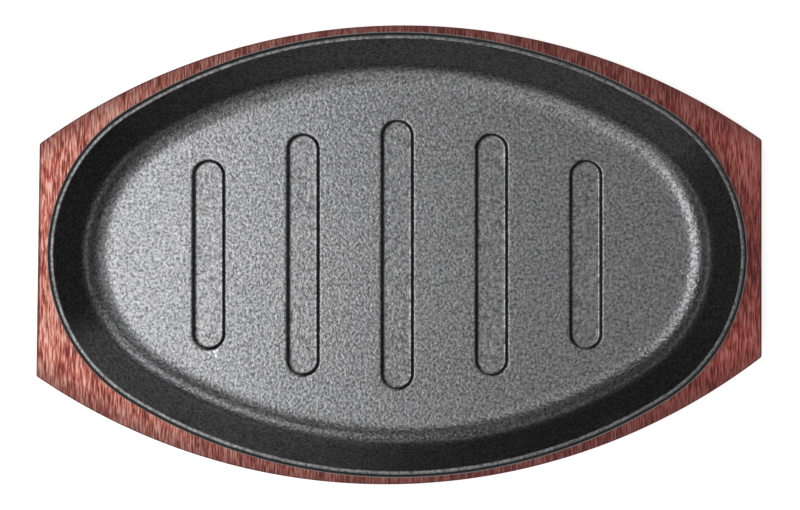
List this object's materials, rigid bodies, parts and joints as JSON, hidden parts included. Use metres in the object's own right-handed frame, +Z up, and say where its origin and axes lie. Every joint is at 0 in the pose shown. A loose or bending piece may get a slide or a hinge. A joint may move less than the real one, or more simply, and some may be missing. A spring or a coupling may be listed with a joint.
{
  "type": "sizzle platter",
  "caption": "Oval cast-iron sizzle platter with sunk slots in its floor, standing in the recess of a stained wooden board.",
  "frame": {"origin": "middle of the board's underside", "axes": "+X along the platter's length, +Y along its slots, +Z up out of the platter"},
  "size_m": [0.2883, 0.1825, 0.034],
  "materials": {
    "iron": "black, oiled and baked on, over the fine grain of a sand casting",
    "wood": "red-brown stain, wiped thin over open grain"
  },
  "bodies": {
    "root": {"platter": "iron", "board": "wood"}
  },
  "joints": []
}
